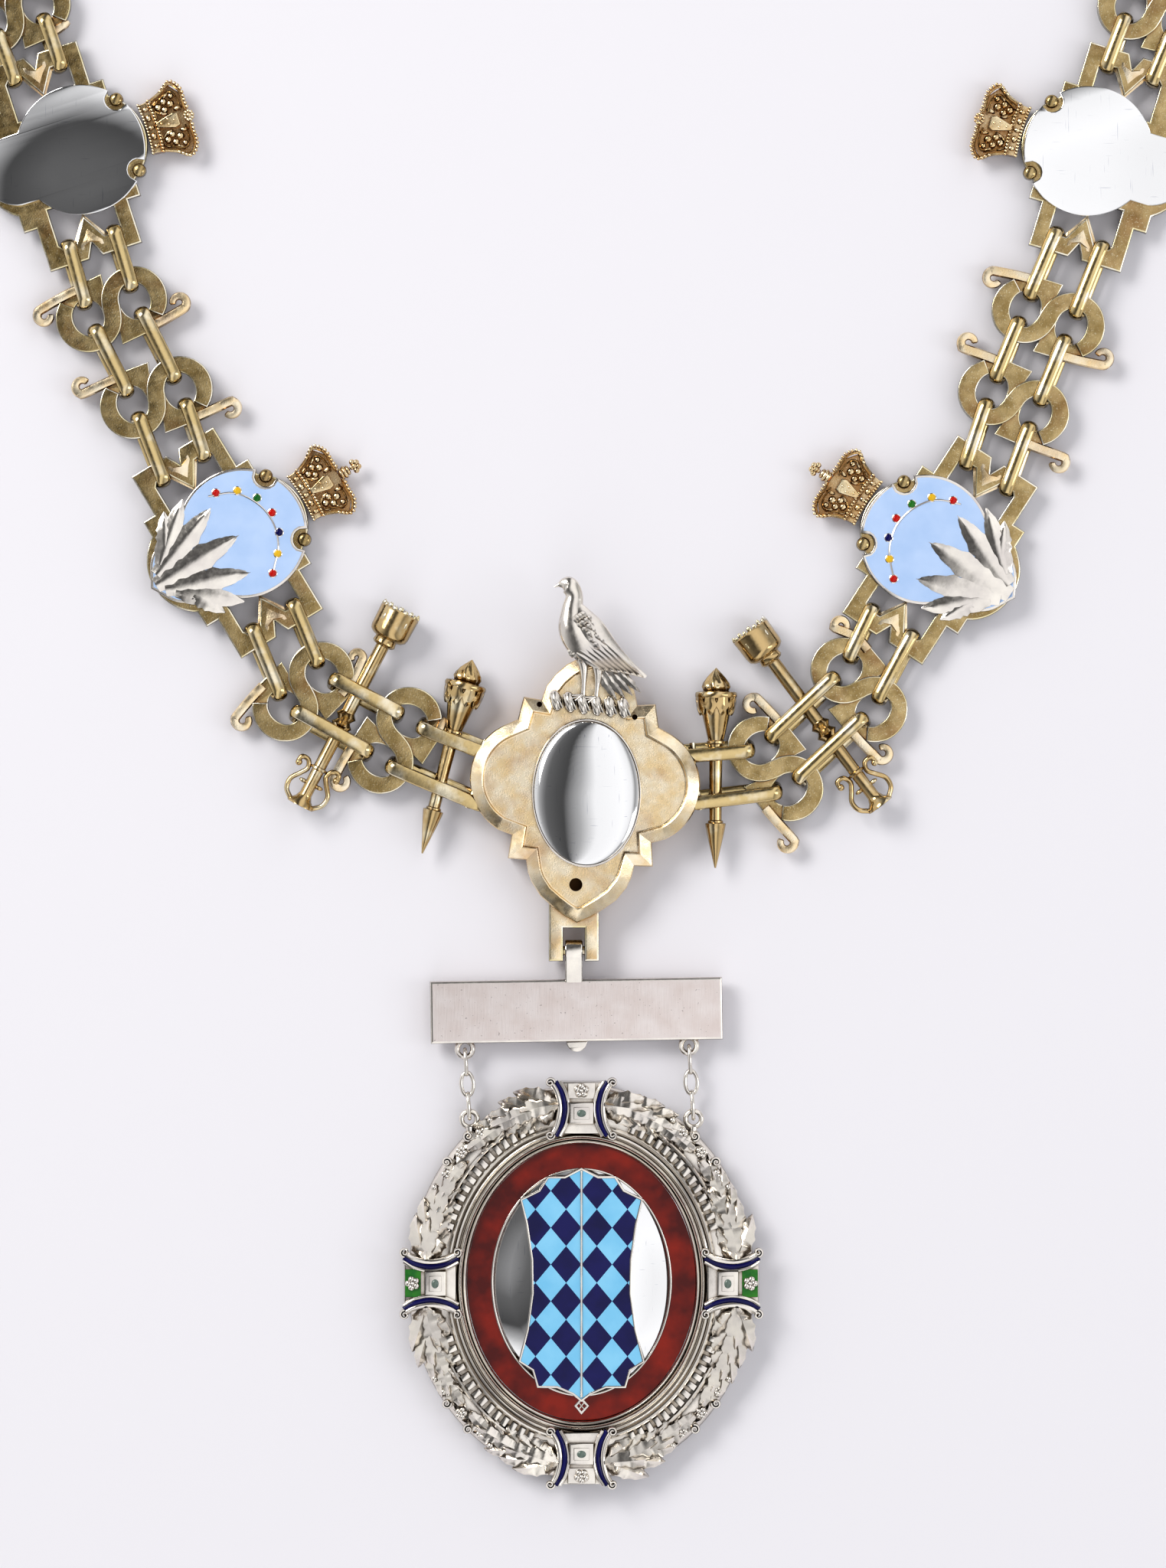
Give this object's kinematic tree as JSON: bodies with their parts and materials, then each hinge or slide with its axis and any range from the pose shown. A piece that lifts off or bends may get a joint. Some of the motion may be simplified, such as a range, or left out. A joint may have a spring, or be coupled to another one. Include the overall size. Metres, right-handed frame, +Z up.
{
  "type": "mayoral chain of office",
  "caption": "Ceremonial collar of pierced and S-shaped links joined by rings, with a centre plaque, bar and oval pendant badge, lying flat.",
  "frame": {"origin": "on the surface that the chain lies on, under the centre of the centre plaque", "axes": "+Z up from the surface, +Y from the badge through the plaque towards the back of the neck, +X to the right seen from above"},
  "size_m": [0.2684, 0.4609, 0.0131],
  "materials": {
    "gilt": "sand-blasted silver-gilt, worn bright on the edges",
    "ring_gilt": "polished silver-gilt wire, silver showing through",
    "silver": "polished sterling silver, darkened in the hollows",
    "plate_silver": "mirror polished sterling silver with fine scratches",
    "plate_enamel": "glossy opaque vitreous enamel in a silver rim",
    "red_enamel": "glossy translucent vitreous enamel",
    "shield_enamel": "glossy vitreous enamel between silver walls"
  },
  "bodies": {
    "root": {"back_chain_left": "gilt", "back_chain_right": "gilt", "badge_body": "silver", "bird": "silver", "enamel_band": "red_enamel", "frame_left_1": "gilt", "frame_left_2": "gilt", "frame_right_1": "gilt", "frame_right_2": "gilt", "mace_left": "gilt", "mace_right": "gilt", "name_bar": "silver", "plaque": "gilt", "plaque_oval": "silver", "plate_back": "plate_enamel", "plate_left_1": "plate_enamel", "plate_left_2": "plate_silver", "plate_left_3": "plate_enamel", "plate_left_4": "plate_enamel", "plate_right_1": "plate_enamel", "plate_right_2": "plate_silver", "plate_right_3": "plate_enamel", "plate_right_4": "plate_enamel", "ring_left_0_lower": "ring_gilt", "ring_left_0_upper": "ring_gilt", "ring_left_1_inner": "ring_gilt", "ring_left_1_outer": "ring_gilt", "ring_left_2_inner": "ring_gilt", "ring_left_2_outer": "ring_gilt", "ring_left_3_inner": "ring_gilt", "ring_left_3_outer": "ring_gilt", "ring_left_4_inner": "ring_gilt", "ring_left_4_outer": "ring_gilt", "ring_left_5_inner": "ring_gilt", "ring_left_5_outer": "ring_gilt", "ring_right_0_lower": "ring_gilt", "ring_right_0_upper": "ring_gilt", "ring_right_1_inner": "ring_gilt", "ring_right_1_outer": "ring_gilt", "ring_right_2_inner": "ring_gilt", "ring_right_2_outer": "ring_gilt", "ring_right_3_inner": "ring_gilt", "ring_right_3_outer": "ring_gilt", "ring_right_4_inner": "ring_gilt", "ring_right_4_outer": "ring_gilt", "ring_right_5_inner": "ring_gilt", "ring_right_5_outer": "ring_gilt", "s_link_left_1": "gilt", "s_link_left_2": "gilt", "s_link_left_3": "gilt", "s_link_left_4": "gilt", "s_link_right_1": "gilt", "s_link_right_2": "gilt", "s_link_right_3": "gilt", "s_link_right_4": "gilt", "shield": "shield_enamel", "side_chain_left": "silver", "side_chain_right": "silver", "torch_left": "gilt", "torch_right": "gilt"}
  },
  "joints": []
}
